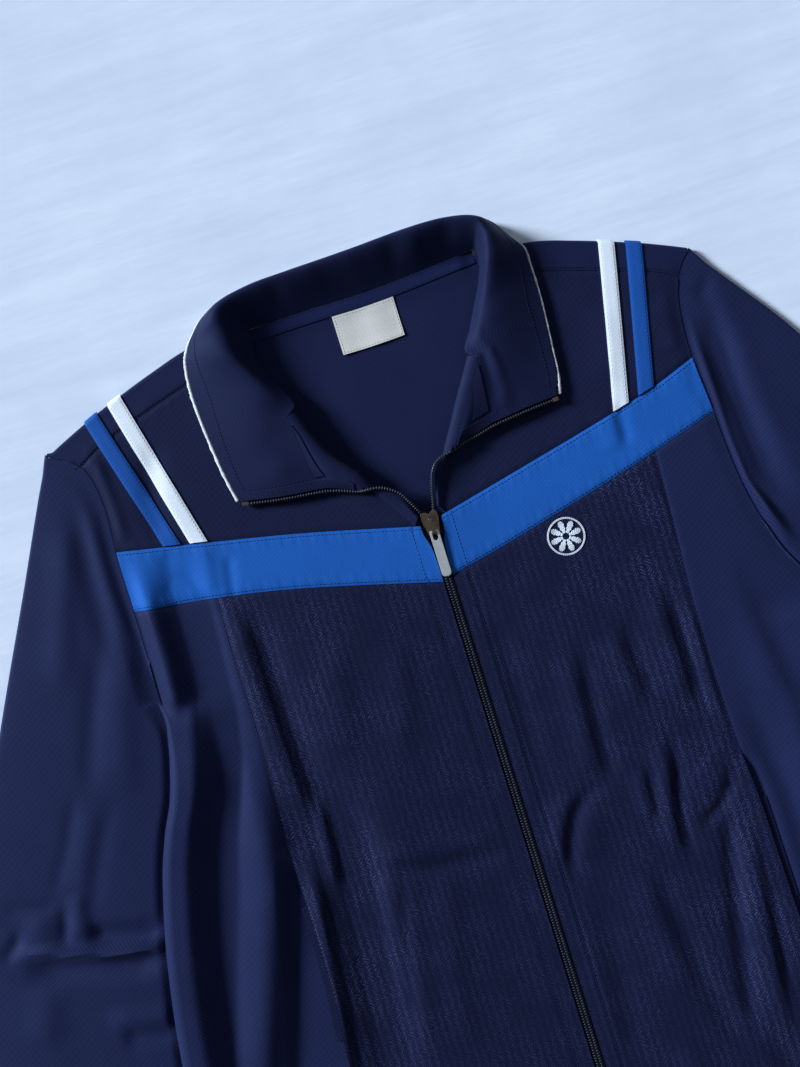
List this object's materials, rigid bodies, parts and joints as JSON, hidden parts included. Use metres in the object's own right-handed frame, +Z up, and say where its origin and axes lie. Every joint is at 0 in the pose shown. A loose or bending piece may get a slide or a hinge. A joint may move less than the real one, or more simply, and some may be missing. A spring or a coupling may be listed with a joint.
{
  "type": "track jacket",
  "caption": "Zip-up track jacket laid flat, front up: stand collar laid open, contrast chest band and shoulder stripes, embossed front panels, seam pockets and a turning zip pull.",
  "frame": {"origin": "middle of the bounding box, on the floor that the jacket lies on", "axes": "+X from the wearer's right sleeve to the wearer's left sleeve, +Y from the hem to the collar, +Z up from the floor"},
  "size_m": [0.8048, 0.7022, 0.0245],
  "materials": {
    "knit": "matt navy polyester double knit",
    "embossed_knit": "matt navy knit embossed with short dashes",
    "band_knit": "matt mid-blue knit",
    "stripe_knit": "matt mid-blue knit",
    "white_knit": "matt white knit",
    "piping": "off-white corded piping, slightly frayed",
    "label_satin": "blank cream woven label",
    "zip_tape": "woven black tape",
    "zip_coil": "satin black nylon",
    "gunmetal": "worn gunmetal plating",
    "silver": "satin silver"
  },
  "bodies": {
    "jacket": {"back_panel": "knit", "side_front_R": "knit", "side_front_L": "knit", "centre_front_R": "embossed_knit", "centre_front_L": "embossed_knit", "chest_band_R": "band_knit", "chest_band_L": "band_knit", "front_yoke_R": "knit", "front_yoke_L": "knit", "white_stripe_R": "white_knit", "white_stripe_L": "white_knit", "blue_stripe_R": "stripe_knit", "blue_stripe_L": "stripe_knit", "sleeve_R": "knit", "sleeve_L": "knit", "collar_inner": "knit", "collar_outer": "knit", "collar_piping": "piping", "neck_tape": "knit", "neck_tape_end_R": "knit", "neck_tape_end_L": "knit", "label": "label_satin", "pocket_facing_R": "knit", "pocket_facing_L": "knit", "zip_tape_R": "zip_tape", "zip_tape_L": "zip_tape", "zip_chain": "zip_coil", "zip_box": "zip_coil", "zip_tape_open_R": "knit", "zip_tape_open_L": "knit", "zip_coil_R": "zip_coil", "zip_coil_L": "zip_coil", "top_stop_R": "gunmetal", "top_stop_L": "gunmetal", "slider": "gunmetal"},
    "pull_tab": {"pull_tab": "silver"}
  },
  "joints": [
    {"name": "pull_tab_hinge", "type": "hinge", "parent": "jacket", "child": "pull_tab", "pos_m": [0, 0.1456, 0.00945], "axis": [-1, 0, 0], "range_deg": [0, 150]}
  ]
}
